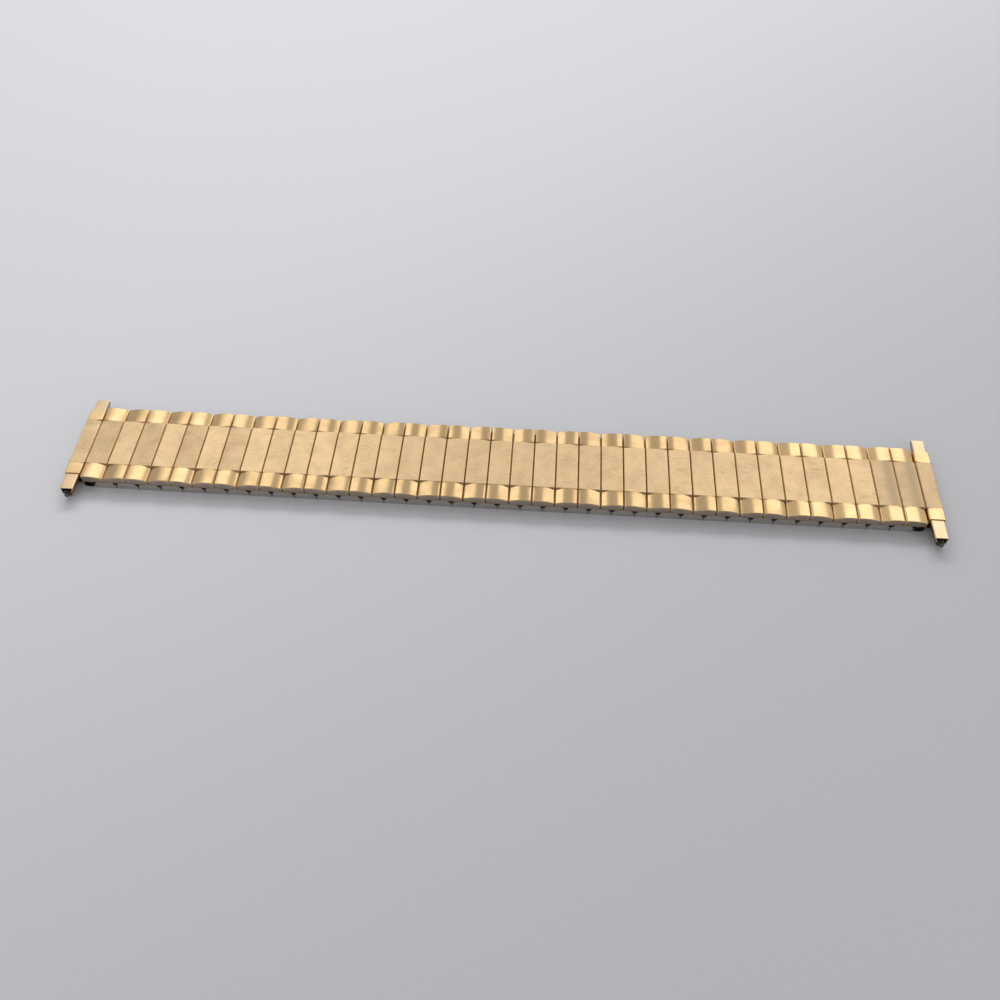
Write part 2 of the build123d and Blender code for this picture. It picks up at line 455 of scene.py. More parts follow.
def span(tree, value, start, end, low=0.0, high=1.0, smoothed=True):
    """Maps the run from start to end onto the run from low to high, and holds it beyond."""
    node = add(tree, "ShaderNodeMapRange", {0: value, 1: start, 2: end, 3: low, 4: high})
    node.interpolation_type = "SMOOTHSTEP" if smoothed else "LINEAR"
    return node.outputs[0]


def noise(tree, vector, scale, detail):
    values = {"Vector": vector, "Scale": scale, "Detail": detail}
    return add(tree, "ShaderNodeTexNoise", values).outputs


def vector_of(tree, x, y, z):
    return add(tree, "ShaderNodeCombineXYZ", {0: x, 1: y, 2: z}).outputs[0]


def blend_colour(tree, factor, first, second, mode="MIX"):
    """Blends two colours, each of them a socket or a plain colour."""
    values = {0: factor, 6: first, 7: second}
    for key in (6, 7):
        if not isinstance(values[key], bpy.types.NodeSocket):
            values[key] = (*values[key], 1.0)
    return add(tree, "ShaderNodeMix", values, data_type="RGBA", blend_type=mode).outputs[2]


def toned(tree, base, tone):
    """A colour made darker or lighter by a tone that changes over the surface."""
    grey = add(tree, "ShaderNodeCombineColor", {0: tone, 1: tone, 2: tone}).outputs[0]
    return blend_colour(tree, 1.0, base, grey, "MULTIPLY")


def ramp(tree, value, stops):
    """A smooth grey ramp through (place, grey) stops."""
    node = add(tree, "ShaderNodeValToRGB", {0: value})
    elements = node.color_ramp.elements
    while len(elements) > 1:
        elements.remove(elements[-1])
    for number, (place, grey) in enumerate(stops):
        element = elements.new(place) if number else elements[0]
        element.position, element.color = place, (grey, grey, grey, 1)
    return node.outputs[0]


def new_group(name, inputs, outputs):
    """A node group with a vector input, named float inputs with defaults, and named outputs."""
    tree = bpy.data.node_groups.new(name, "ShaderNodeTree")
    tree.interface.new_socket("Vector", in_out="INPUT", socket_type="NodeSocketVector")
    for label, default in inputs.items():
        socket = tree.interface.new_socket(label, in_out="INPUT", socket_type="NodeSocketFloat")
        socket.default_value = default
    for label in outputs:
        tree.interface.new_socket(label, in_out="OUTPUT", socket_type="NodeSocketFloat")
    return tree, tree.nodes.new("NodeGroupInput").outputs, tree.nodes.new("NodeGroupOutput").inputs


def use_group(tree, name, vector, **values):
    """The outputs of a group that is placed in a material."""
    node = tree.nodes.new("ShaderNodeGroup")
    node.node_tree = bpy.data.node_groups[name]
    for key, value in {"Vector": vector, **values}.items():
        join(tree, value, node.inputs[key])
    return node.outputs


def brush_lines():
    """Fine brush lines across the band, broken up by a slow noise."""
    inputs = {"Density": 9000.0, "Stretch": 0.05}
    tree, given, out = new_group("Brush Lines", inputs, ("Lines", "Height"))
    stretch = {0: given["Vector"], 1: vector_of(tree, given["Stretch"], 1.0, 0.4)}
    place = add(tree, "ShaderNodeVectorMath", stretch, operation="MULTIPLY").outputs[0]
    fine = noise(tree, place, given["Density"], 2.0)[0]
    slow = noise(tree, given["Vector"], 420.0, 1.0)[0]
    lines = ramp(tree, fine, ((0.30, 0.0), (0.50, 0.5), (0.70, 1.0)))
    join(tree, lines, out["Lines"])
    join(tree, times(tree, lines, math_node(tree, "ADD", slow, 0.35)), out["Height"])


def wipe_scratches(sizes):
    """Short curved scratches from wiping: arcs whose centre differs from cap to cap."""
    inputs = {"Across": 0.0, "Turn": 0.5, "Density": 7000.0, "Length": 0.10}
    tree, given, out = new_group("Wipe Scratches", inputs, ("Lines",))
    furthest, below, unrolled = 11 * MM, 13 * MM, 14 * MM
    place = add(tree, "ShaderNodeSeparateXYZ", {0: given["Vector"]}).outputs
    aside = times_plus(tree, given["Turn"], 2 * furthest, -furthest)
    x = less(tree, times(tree, given["Across"], sizes.pitch), aside)
    y = math_node(tree, "ADD", place["Y"], below)
    radius = math_node(tree, "POWER", times_plus(tree, y, y, times(tree, x, x)), 0.5)
    along = times(tree, times(tree, math_node(tree, "ARCTAN2", x, y), unrolled), given["Length"])
    fine = noise(tree, vector_of(tree, along, radius, given["Turn"]), given["Density"], 1.0)[0]
    patch = noise(tree, given["Vector"], 420.0, 2.0)[0]
    lines = ramp(tree, fine, ((0.42, 0.0), (0.64, 1.0)))
    where = ramp(tree, patch, ((0.36, 0.0), (0.62, 1.0)))
    join(tree, times(tree, lines, where), out["Lines"])


def handling_marks():
    """Smudges and faint wipe marks from handling."""
    tree, given, out = new_group("Handling Marks", {"Size": 420.0}, ("Mask",))
    warp = noise(tree, given["Vector"], 150.0, 1.0)["Color"]
    bend = {0: warp, 1: (0.003, 0.003, 0.003), 2: given["Vector"]}
    bent = add(tree, "ShaderNodeVectorMath", bend, operation="MULTIPLY_ADD").outputs[0]
    cloud = noise(tree, bent, given["Size"], 3.0)[0]
    join(tree, ramp(tree, cloud, ((0.36, 0.0), (0.52, 0.45), (0.68, 1.0))), out["Mask"])


def place_on_cap(sizes):
    """Where a point lies: on which cap, how near its long edge and the satin's borders, and how low."""
    labels = (
        "Edge", "Side", "Border", "Low", "Lens", "Rim", "Glint",
        "Left Odd", "Left Even", "Amid", "Last", "Chance", "Across",
    )
    tree, given, out = new_group("Place On Cap", {}, labels)
    place = add(tree, "ShaderNodeSeparateXYZ", {0: given["Vector"]}).outputs
    column = math_node(tree, "DIVIDE", place["X"], sizes.pitch)
    number = math_node(tree, "ROUND", column)
    offset = less(tree, column, number)
    across = math_node(tree, "ABSOLUTE", offset)
    half = (sizes.pitch - sizes.gap) / 2 / sizes.pitch
    border = sizes.satin / 2
    reach = math_node(tree, "ABSOLUTE", place["Y"])
    from_border = math_node(tree, "ABSOLUTE", less(tree, reach, border + sizes.step))

    # Painted shade beside the satin: at the near border in the step, where the arch is low, and at the
    # far border on the satin, where the arch is high, with a painted highlight (Glint) on the satin
    # beside the far one
    odd = math_node(tree, "MODULO", math_node(tree, "ADD", number, 41.0), 2.0)
    steep = times(tree, offset, times_plus(tree, odd, 2.0, -1.0))
    near_low = span(tree, steep, 0.17, 0.5, smoothed=False)
    near_high = span(tree, steep, -0.12, -0.5, smoothed=False)
    tall = times(tree, math_node(tree, "POWER", near_low, 1.4), 0.6 * sizes.arch_drop)
    ahead = less(tree, tall, less(tree, reach, border))
    behind = less(tree, place["Y"], border)
    deep = times_plus(tree, math_node(tree, "POWER", near_high, 0.8), 0.80 * sizes.arch_drop, behind)
    below = times_plus(tree, near_high, 0.22 * MM, deep)

    # The caps near the left end are darker and lighter by turns and the last two at the right are greyed
    # in a band, painted shade and highlight from how the caps lean; the polish of those in the middle is
    # darker
    leftward = span(tree, number, -9.0, -15.0, smoothed=False)
    left_odd = times(tree, odd, leftward)
    capped = math_node(tree, "GREATER_THAN", number, -18.5)
    left_even = times(tree, less(tree, leftward, left_odd), capped)
    rightmost = math_node(tree, "GREATER_THAN", number, 16.5)
    shade_rise = span(tree, offset, -0.22, 0.20)
    clear = span(tree, offset, 0.22, 0.50, 0.62, 0.20)
    band = times(tree, shade_rise, times(tree, clear, math_node(tree, "LESS_THAN", number, 18.5)))
    chance = add(tree, "ShaderNodeTexWhiteNoise", {"W": number}, noise_dimensions="1D").outputs[0]

    masks = (
        # Edge: the band along the long edges that the satin lightens as a painted highlight
        span(tree, across, half - 0.045, half),
        span(tree, across, 0.35 * half, half),
        span(tree, from_border, 0.04 * MM, 0.24 * MM, 1.0, 0.0),
        span(tree, place["Z"], 2.9 * MM, 1.6 * MM, smoothed=False),
        span(tree, ahead, -0.10 * MM, 0.02 * MM),
        span(tree, deep, -0.02 * MM, 0.08 * MM),
        span(tree, below, 0.0, 0.10 * MM),
        left_odd,
        left_even,
        span(tree, math_node(tree, "ABSOLUTE", number), 9.0, 15.0, 1.0, 0.0),
        times(tree, math_node(tree, "ADD", band, 0.42), rightmost),
        chance,
        offset,
    )
    for label, mask in zip(labels, masks):
        join(tree, mask, out[label])


def start_material(name, metallic, roughness):
    """A material's tree, the inputs of its Principled shader, and its Object coordinates."""
    material = bpy.data.materials.new(name)
    material.use_nodes = True
    tree = material.node_tree
    shader = tree.nodes["Principled BSDF"].inputs
    shader["Metallic"].default_value = metallic
    shader["Roughness"].default_value = roughness
    return tree, shader, add(tree, "ShaderNodeTexCoord").outputs["Object"]


def cover(tree, shader, colour, height, distance, rough=None):
    """Gives a shader its colour, a bump and, where it changes, its roughness."""
    join(tree, colour, shader["Base Color"])
    bump = {"Height": height, "Distance": distance, "Strength": 1.0}
    join(tree, add(tree, "ShaderNodeBump", bump).outputs[0], shader["Normal"])
    if rough:
        join(tree, rough, shader["Roughness"])


def satin_gold(finishes):
    tree, shader, place = start_material("Satin gold plate", 0.45, 0.40)
    shader["IOR"].default_value = 1.2
    where = use_group(tree, "Place On Cap", place)
    lines = use_group(tree, "Brush Lines", place)
    apart = {"Across": where["Across"], "Turn": where["Chance"]}
    wiped = use_group(tree, "Wipe Scratches", place, **apart)["Lines"]
    smudge = use_group(tree, "Handling Marks", place, Size=330.0)["Mask"]
    tone = 0.84
    for mask, amount in (
        (where["Chance"], 0.07),
        (lines["Lines"], 0.04),
        (wiped, -0.18),
        (noise(tree, place, 2600.0, 2.0)[0], 0.24),
        (smudge, -0.10),
        # Painted shade and highlight from how the caps near the left end lean
        (where["Left Odd"], -0.18),
        (where["Left Even"], 0.07),
        # Edge and Glint are painted highlights: along the long edges, and on the satin beside the far
        # seam
        (where["Edge"], 0.10),
        (where["Glint"], 0.16),
    ):
        tone = times_plus(tree, mask, amount, tone)
    # Last greys the last caps at the right: painted shade from their lean
    base = blend_colour(tree, where["Last"], toned(tree, finishes.satin, tone), finishes.greyed_shade)
    # Rim lays painted shade on the satin at its far border
    base = blend_colour(tree, times(tree, where["Rim"], 0.95), base, finishes.seam)
    height = times_plus(tree, wiped, -0.6, lines["Height"])
    cover(tree, shader, base, height, 0.004 * MM, times_plus(tree, smudge, 0.08, 0.36))


def polished_gold(finishes):
    tree, shader, place = start_material("Polished gold plate", 1.0, 0.14)
    where = use_group(tree, "Place On Cap", place)
    smudge = use_group(tree, "Handling Marks", place)["Mask"]
    tone = times_plus(tree, where["Amid"], -0.19, times_plus(tree, smudge, -0.14, 1.03))
    # Painted shade on the polish of the even caps near the left end, from how they lean
    even = times_plus(tree, where["Left Even"], -0.22, 1.0)
    base = toned(tree, toned(tree, finishes.polished, tone), even)
    # Painted shade along the borders of the polish, strongest towards the long edges and in the lens of
    # the step
    shade = times(tree, where["Border"], times_plus(tree, where["Side"], 0.80, 0.10))
    shade = times(tree, math_node(tree, "MAXIMUM", shade, where["Lens"]), 0.92)
    base = blend_colour(tree, shade, base, finishes.seam)
    cover(tree, shader, base, smudge, 0.004 * MM, times_plus(tree, smudge, 0.10, 0.15))


def smudged_and_shaded_gold(name, base, low_shade, metallic, brown_smudge_and_shade):
    """Gold on the upright walls, darker towards the bottom with painted shade, and with brown smudges.
    """
    tree, shader, place = start_material(name, metallic, 0.35)
    low = use_group(tree, "Place On Cap", place)["Low"]
    smudge = use_group(tree, "Handling Marks", place, Size=500.0)["Mask"]
    # Low darkens the walls towards the bottom as painted shade; the smudges are real marks
    dirt_and_shade = math_node(tree, "MULTIPLY_ADD", low, low_shade, times(tree, smudge, 0.3), clamp=True)
    base = blend_colour(tree, dirt_and_shade, base, brown_smudge_and_shade)
    cover(tree, shader, base, smudge, 0.006 * MM, times_plus(tree, smudge, 0.15, 0.30))


def ground_gold(finishes):
    tree, shader, place = start_material("Ground gold plate", 1.0, 0.26)
    smudge = use_group(tree, "Handling Marks", place)["Mask"]
    base = toned(tree, finishes.slider, times_plus(tree, smudge, -0.08, 1.0))
    cover(tree, shader, base, use_group(tree, "Brush Lines", place)["Height"], 0.002 * MM)


def steel_finish(name, base, rough, brown_smudge_and_shade):
    tree, shader, place = start_material(name, 1.0, rough)
    lines = use_group(tree, "Brush Lines", place, Density=7000.0)
    smudge = use_group(tree, "Handling Marks", place, Size=380.0)["Mask"]
    base = toned(tree, base, times_plus(tree, lines["Lines"], 0.16, 0.86))
    base = blend_colour(tree, times(tree, smudge, 0.25), base, brown_smudge_and_shade)
    cover(tree, shader, base, lines["Height"], 0.005 * MM, times_plus(tree, smudge, 0.12, rough))


def table_finish(finishes):
    """A pale table top, darkened a little from the far left to the near right by painted shade."""
    tree, shader, place = start_material("Pale table top", 0.0, 0.75)
    grain = noise(tree, place, 900.0, 4.0)[0]
    spot = add(tree, "ShaderNodeSeparateXYZ", {0: place}).outputs
    painted_falloff = span(tree, less(tree, spot["Y"], spot["X"]), -0.13, 0.13, 0.82, 1.06)
    base = toned(tree, finishes.floor, times_plus(tree, grain, 0.03, painted_falloff))
    cover(tree, shader, base, grain, 0.02 * MM)


def make_materials(sizes, finishes):
    brush_lines()
    wipe_scratches(sizes)
    handling_marks()
    place_on_cap(sizes)
    satin_gold(finishes)
    polished_gold(finishes)
    for name, base, low_shade, metallic in (
        ("Gold flank", finishes.flank, 0.05, 0.15),
        ("Shaded gold wall", finishes.end_wall_shade, 0.35, 1.0),
        ("Step shade", finishes.brown_smudge_and_shade, 0.0, 0.0),
    ):
        smudged_and_shaded_gold(name, base, low_shade, metallic, finishes.brown_smudge_and_shade)
    ground_gold(finishes)
    for name, base, rough in (
        ("Brushed steel", finishes.steel, 0.34),
        ("Stained steel", finishes.stain, 0.45),
        ("Steel with painted shade", finishes.dark_steel, 0.42),
    ):
        steel_finish(name, base, rough, finishes.brown_smudge_and_shade)
    table_finish(finishes)


# Where things are, from the frame


def link_node(number):
    return f"link_{number:02d}"


def cap_places(kind):
    """For each cap, its number, its piece's name, its node and its place."""
    for number in range(1, len(CAPS) + 1):
        x = (number - MIDDLE) * bpy.context.scene.band_links.pitch
        yield number, f"{kind}_{number:02d}", link_node(number), x


def lower_places(kind):
    """For each lower link, its piece's name, its body, its place and its side."""
    for side, word in SIDES:
        for step in range(MIDDLE - 1):
            number = MIDDLE + side * step
            body = f"lower_link_{number:02d}"
            if step == 0 or body not in frame["bodies"]:
                body = link_node(number)
            name = f"{kind}_{number:02d}" + ("" if step else f"_{word}")
            yield name, body, side * (step + 0.5) * bpy.context.scene.band_links.pitch, side


def across_end(low, high, side):
    """Where a box at one end of the band begins and stops, outwards from the band's middle."""
    return (low.x, high.x) if side == RIGHT else (high.x, low.x)


def lean_of(number):
    """How many degrees a cap's top leans; the caps near the ends lean more than those in the middle."""
    away = abs(number - MIDDLE) / (MIDDLE - 1)
    return LEANS[min(len(LEANS) - 1, int(away * len(LEANS)))]


# Operators, one for each kind of piece


class BAND_OT_finishes(bpy.types.Operator):
    """Make the gold, steel and table materials"""

    bl_idname = "band.finishes"
    bl_label = "Finishes"

    def execute(self, context):
        make_materials(context.scene.band_links, context.scene.band_finishes)
        return {"FINISHED"}


class BAND_OT_gold_caps(bpy.types.Operator):
    """Model the folded gold caps with their satin centres and arched, polished ends"""

    bl_idname = "band.gold_caps"
    bl_label = "Gold Caps"

    def execute(self, context):
        sizes = context.scene.band_links
        patterns = {lean: self.pattern(sizes, math.radians(lean)) for lean in LEANS}
        for number, name, node, x in cap_places("cap"):
            side = LEFT if number % 2 else RIGHT
            mount(copied(patterns[lean_of(number)], name, x, side=side), node, "gold_plate", node)
        discard(*patterns.values())
        return {"FINISHED"}

    def pattern(self, sizes, lean):
        """A cap whose top leans down to the left by this angle, with its arches lower on the left."""
        half, reach = (sizes.pitch - sizes.gap) / 2, sizes.width / 2
        floor, top, border, r = UPPER_FLOOR, cad_high.z, sizes.satin / 2, sizes.edge
        cap = block("cap_pattern", (-half, -reach, floor), (half, reach, top))
        open_edit(cap)
        round_edges(lambda e: runs(e, 2), 0.08 * MM, 2)
        rows = [half * (2 * i / sizes.arch_rows - 1) for i in range(1, sizes.arch_rows)]
        rounding = (0.12 * r, 0.5 * r, r)
        cut(0, rows + [s * (half - a) for s in (-1, 1) for a in rounding])
        lines = (border, border + sizes.step, *(reach - a for a in rounding))
        cut(1, [s * y for s in (-1, 1) for y in lines])

        def fall(inset):
            """How far a quarter round of the edge radius has fallen at this distance from the edge."""
            short = max(0.0, r - inset)
            return r - math.sqrt(max(0.0, r * r - short * short))

        def drop(co):
            arch, across = 0.0, -co.x / half
            if abs(co.y) > border + 0.5 * sizes.step:
                bow = (sizes.arch_drop + sizes.arch_rise) / 2 - sizes.crown_drop
                slant = (sizes.arch_drop - sizes.arch_rise) / 2
                arch = sizes.crown_drop + slant * across + bow * across**2
            leaning = math.tan(lean) * (half - co.x)
            return arch + leaning + fall(half - abs(co.x)) + fall(reach - abs(co.y))

        def on_top(amount):
            return lambda v: near_to(v.co.z, top) and near_to(drop(v.co) / MM, amount, 0.0001)

        mesh = bmesh.from_edit_mesh(cap.data)
        for amount in sorted({round(drop(v.co) / MM, 4) for v in mesh.verts if near_to(v.co.z, top)}):
            if amount and pick("VERT", on_top(amount)):
                bpy.ops.transform.translate(value=(0, 0, -amount * MM))
        # The gaps between the caps narrow towards their far ends
        pick("VERT", lambda v: v.co.y > reach - r - 0.01 * MM and abs(v.co.x) > half - 0.09 * MM)
        flare = 1 + sizes.far_flare / half
        bpy.ops.transform.resize(value=(flare, 1, 1), center_override=(0, 0, 0))
        remove_faces(lambda f: f.normal.z < -0.9)
        close_edit()
        thicken(cap, sizes.gold_wall)
        smooth(cap, 40)

        def zone(face):
            if face.normal.z > 0.45 and face.center.z > floor + 0.7 * MM:
                return 0 if abs(face.center.y) < border else 1
            # Walls facing across the band: step walls take brown painted shade, the others the darker
            # gold painted shade
            if abs(face.normal.y) > 0.7:
                on_step = border - 0.01 * MM < abs(face.center.y) < border + sizes.step + 0.01 * MM
                return 4 if on_step else 3
            return 2

        names = ("Satin gold plate", "Polished gold plate", "Gold flank", "Shaded gold wall", "Step shade")
        return dress(cap, *names, choose=zone)


class BAND_OT_upper_sleeves(bpy.types.Operator):
    """Model the steel sleeves inside the caps, with windows for the bows"""

    bl_idname = "band.upper_sleeves"
    bl_label = "Upper Sleeves"

    def execute(self, context):
        sizes = context.scene.band_links
        half = (sizes.pitch - sizes.gap) / 2 - sizes.gold_wall
        reach = sizes.width / 2 - sizes.flange
        floor, top = UPPER_FLOOR, UPPER_FLOOR + 0.95 * MM
        sleeve = block("sleeve_pattern", (-half, -reach, floor), (half, reach, top))
        open_edit(sleeve)
        round_edges(along_y(z=floor), 0.12 * MM, 2)
        round_edges(along_y(z=top), 0.30 * MM, 3)
        inner = reach - sizes.window
        cut(1, [-inner, inner])
        remove_faces(lambda f: abs(f.normal.y) > 0.9)
        remove_faces(lambda f: f.normal.z < -0.9 and abs(f.calc_center_median().y) > inner)
        close_edit()
        thicken(sleeve, sizes.sleeve_wall)
        smooth(sleeve)
        dress(sleeve, "Brushed steel")
        for _, name, node, x in cap_places("upper_sleeve"):
            mount(copied(sleeve, name, x), node, "steel")
        discard(sleeve)
        return {"FINISHED"}


class BAND_OT_lower_sleeves(bpy.types.Operator):
    """Model the rounded steel sleeves of the lower row"""

    bl_idname = "band.lower_sleeves"
    bl_label = "Lower Sleeves"

    def execute(self, context):
        sizes = context.scene.band_links
        half, reach, top = (sizes.pitch - sizes.gap) / 2, sizes.width / 2, LOWER_TOP
        sleeve = block("lower_pattern", (-half, -reach, 0), (half, reach, top))
        open_edit(sleeve)
        round_edges(along_y(z=0.0), sizes.base_round, 3)
        round_edges(along_y(-half, top), sizes.pivot_round, 2, 0.28)
        round_edges(along_y(half, top), sizes.slide_round, 2, 0.28)
        inner, outer = reach - sizes.flange - sizes.window, reach - sizes.flange
        cut(1, [s * y for s in (-1, 1) for y in (inner, outer)])
        cut(2, [SILL])
        cut(0, [s * (half - sizes.notch) for s in (-1, 1)])

        def opened(face):
            """The window for the bows, and the notches beside it in the end wall."""
            centre = face.calc_center_median()
            beside = abs(centre.y) > outer and abs(centre.x) > half - sizes.notch
            return centre.z > SILL and (inner < abs(centre.y) < outer or beside)

        remove_faces(opened)
        close_edit()
        thicken(sleeve, sizes.sleeve_wall)
        smooth(sleeve, 30)

        def stained(face):
            return face.normal.z > 0.4 and abs(face.center.y) < inner

        dress(sleeve, "Brushed steel", "Stained steel", choose=stained)
        for name, body, x, side in lower_places("lower_sleeve"):
            nodes = (body,) if body.startswith("lower_link") else ()
            mount(copied(sleeve, name, x, side=side), body, "steel", *nodes)
        discard(sleeve)
        return {"FINISHED"}


class BAND_OT_bows(bpy.types.Operator):
    """Model the bows that join the rows of links"""

    bl_idname = "band.bows"
    bl_label = "Connecting Bows"

    def execute(self, context):
        sizes = context.scene.band_links
        t, rise = sizes.bow, 0.57 * MM
        inside = sizes.width / 2 - sizes.flange - sizes.window + 0.05 * MM
        outside, end = inside + t, inside - sizes.arm
        bow = block("bow_pattern", (-t / 2, end, BOW_FLOOR), (t / 2, outside, BOW_FLOOR + t))
        open_edit(bow)
        cut(1, [inside])
        pick("FACE", lambda f: f.normal.z > 0.9 and f.calc_center_median().y > inside)
        extrude(0, 0, rise)
        extrude(0, 0, t)

        def faces_in(face):
            """The inner side of the upper bend, from which the upper arm grows."""
            centre = face.calc_center_median()
            return face.normal.y < -0.9 and centre.z > BOW_FLOOR + t + rise and centre.y > end + t

        def bend(edge):
            at = middle(edge)
            lowest, highest = near_to(at.z, BOW_FLOOR), near_to(at.z, BOW_FLOOR + 2 * t + rise)
            return runs(edge, 0) and near_to(at.y, outside) and (lowest or highest)

        pick("FACE", faces_in)
        extrude(0, -sizes.arm, 0)
        round_edges(bend, 0.2 * MM, 2)
        close_edit()
        smooth(bow)
        dress(bow, "Brushed steel")
        for number, name, node, x in cap_places("bows"):
            side = LEFT if number < MIDDLE else RIGHT
            places = (x + side * SWING_BOW, x - side * SLIDE_BOW)
            if number == MIDDLE:
                places = (x - SWING_BOW, x + SWING_BOW)
            bows = [copied(bow, "bow_copy", at, edge=edge) for at in places for edge, _ in EDGES]
            mount(joined(bows, name), node, "steel")
        discard(bow)
        return {"FINISHED"}


class BAND_OT_leaf_springs(bpy.types.Operator):
    """Model the bowed leaf springs inside the sleeves"""

    bl_idname = "band.leaf_springs"
    bl_label = "Leaf Springs"

    def execute(self, context):
        sizes = context.scene.band_links
        reach = sizes.width / 2 - sizes.flange - sizes.window - 0.2 * MM
        upper = self.pattern(sizes, reach, crest=2.36 * MM - sizes.leaf, tip=2.07 * MM)
        for _, name, node, x in cap_places("upper_leaf"):
            mount(copied(upper, name, x), node, "steel")
        lower = self.pattern(sizes, reach, crest=0.14 * MM, tip=0.80 * MM - sizes.leaf)
        for name, body, x, _ in lower_places("lower_leaf"):
            mount(copied(lower, name, x), body, "steel")
        discard(upper, lower)
        return {"FINISHED"}

    def pattern(self, sizes, reach, crest, tip):
        """A leaf spring, bowed from the height of its crest to that of its tips."""
        half = sizes.leaf_width / 2
        leaf = block("leaf_pattern", (-half, -reach, 0), (half, reach, sizes.leaf))
        open_edit(leaf)
        rows = 8
        cut(1, [reach * (2 * i / rows - 1) for i in range(1, rows)])
        mesh = bmesh.from_edit_mesh(leaf.data)
        for y in sorted({round(v.co.y / MM, 4) for v in mesh.verts}):
            pick("VERT", lambda v: near_to(v.co.y / MM, y, 0.001))
            bpy.ops.transform.translate(value=(0, 0, crest + (tip - crest) * (y * MM / reach) ** 2))
        close_edit()
        smooth(leaf)
        return dress(leaf, "Brushed steel")


class BAND_OT_housings(bpy.types.Operator):
    """Model the gold end housings"""

    bl_idname = "band.housings"
    bl_label = "End Housings"

    def execute(self, context):
        ends = context.scene.band_ends
        for side, word in SIDES:
            low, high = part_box(f"end_housing_{word}")
            inner_x, outer_x = across_end(low, high, side)
            housing = block(f"housing_{word}", low, high)
            open_edit(housing)
            round_edges(along_y(outer_x, low.z), ends.housing_round, 8)
            round_edges(along_y(inner_x, low.z), ends.housing_inner, 5)
            round_edges(along_y(z=high.z), ends.housing_corner, 3)
            cut(1, [s * ends.brushed / 2 for s in (-1, 1)])
            remove_faces(lambda f: abs(f.normal.y) > 0.9)
            close_edit()
            thicken(housing, ends.housing_wall)
            soften(housing, 0.05 * MM)
            smooth(housing)

            def zone(face):
                # Undersides take the shaded gold wall, painted shade
                if face.normal.z < -0.3:
                    return 2
                return 0 if abs(face.center.y) < ends.brushed / 2 else 1

            dress(housing, "Satin gold plate", "Polished gold plate", "Shaded gold wall", choose=zone)
            mount(housing, f"end_{word}", "gold_plate", f"end_housing_{word}")
        return {"FINISHED"}


class BAND_OT_sliders(bpy.types.Operator):
    """Model the rolled sliders that draw out of the housings"""

    bl_idname = "band.sliders"
    bl_label = "End Sliders"

    def execute(self, context):
        ends = context.scene.band_ends
        for side, word in SIDES:
            for _, label in EDGES:
                node = f"slider_{word}_{label}"
                slider = self.rolled(f"end_{node}", ends, *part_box(node), side)
                thicken(slider, ends.slider_wall)
                soften(slider, 0.04 * MM)
                smooth(slider)
                # The slider's sides take the shaded gold wall, painted shade
                dress(slider, "Ground gold plate", "Shaded gold wall", choose=lambda f: f.normal.z < 0.4)
                mount(slider, node, "gold_plate", node)
        return {"FINISHED"}

    def rolled(self, name, ends, low, high, side):
        """The sheet of a slider: a flat top, a lip on its inner edge and a barrel on its outer edge."""
        inner_x, outer_x = across_end(low, high, side)
        nothing_selected()
        centre = ((low.x + high.x) / 2, (low.y + high.y) / 2, high.z)
        bpy.ops.mesh.primitive_plane_add(size=1.0, location=centre)
        slider = bpy.context.object
        slider.scale = (high.x - low.x, high.y - low.y, 1.0)
        settle(slider, name)
        open_edit(slider)
        pick("EDGE", along_y(inner_x))
        extrude(0, 0, -ends.slider_lip)
        pick("EDGE", along_y(outer_x))
        centre_z = low.z + ends.barrel
        extrude(0, 0, centre_z - high.z)
        pick("EDGE", along_y(outer_x, centre_z))
        axle = (outer_x - side * ends.barrel, 0, centre_z)
        bpy.ops.mesh.spin(steps=14, angle=math.radians(216), center=axle, axis=(0, -side, 0))
        round_edges(along_y(z=high.z), 0.22 * MM, 3)
        bpy.ops.mesh.select_all(action="SELECT")
        bpy.ops.mesh.remove_doubles(threshold=0.001 * MM)
        bpy.ops.mesh.normals_make_consistent(inside=False)
        close_edit()
        if max(slider.data.polygons, key=lambda f: f.center.z).normal.z < 0:
            flip(slider)
        return slider


class BAND_OT_hooks(bpy.types.Operator):
    """Model the rolled steel hooks behind the end links"""

    bl_idname = "band.hooks"
    bl_label = "Rolled Hooks"

    def execute(self, context):
        sizes, ends = context.scene.band_links, context.scene.band_ends
        hook_width, tongue_reach, tongue_low, tongue_high = 1.8 * MM, 6.5 * MM, 0.85 * MM, 1.25 * MM
        for side, word in SIDES:
            node = f"end_hook_{word}"
            low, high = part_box(node)
            inner_x, far_x = across_end(low, high, side)
            outer_x = inner_x + side * hook_width
            start, stop = sorted((inner_x, outer_x))
            hook = block(f"hook_{word}", (start, low.y, low.z), (stop, high.y, high.z))
            open_edit(hook)
            round_edges(along_y(outer_x), ends.hook_round, 5)
            round_edges(along_y(inner_x, high.z), 0.5 * MM, 4)
            round_edges(along_y(inner_x, low.z), 0.4 * MM, 4)
            inner = high.y - sizes.window
            cut(1, [s * y for y in (inner, tongue_reach) for s in (-1, 1)])
            cut(2, [SILL])
            remove_faces(lambda f: abs(f.normal.y) > 0.9)

            def window(face):
                centre = face.calc_center_median()
                return abs(centre.y) > inner and centre.z > SILL

            remove_faces(window)
            close_edit()
            thicken(hook, sizes.sleeve_wall)
            smooth(hook)
            start, stop = sorted((outer_x - side * sizes.sleeve_wall / 2, far_x))
            corners = (start, -tongue_reach, tongue_low), (stop, tongue_reach, tongue_high)
            tongue = block("tongue", *corners)
            open_edit(tongue)
            round_edges(lambda e: runs(e, 2), 0.1 * MM, 2)
            close_edit()
            joined([hook, tongue], f"hook_{word}")
            dress(hook, "Steel with painted shade")
            mount(hook, f"end_{word}", "dark_steel", node)
        return {"FINISHED"}


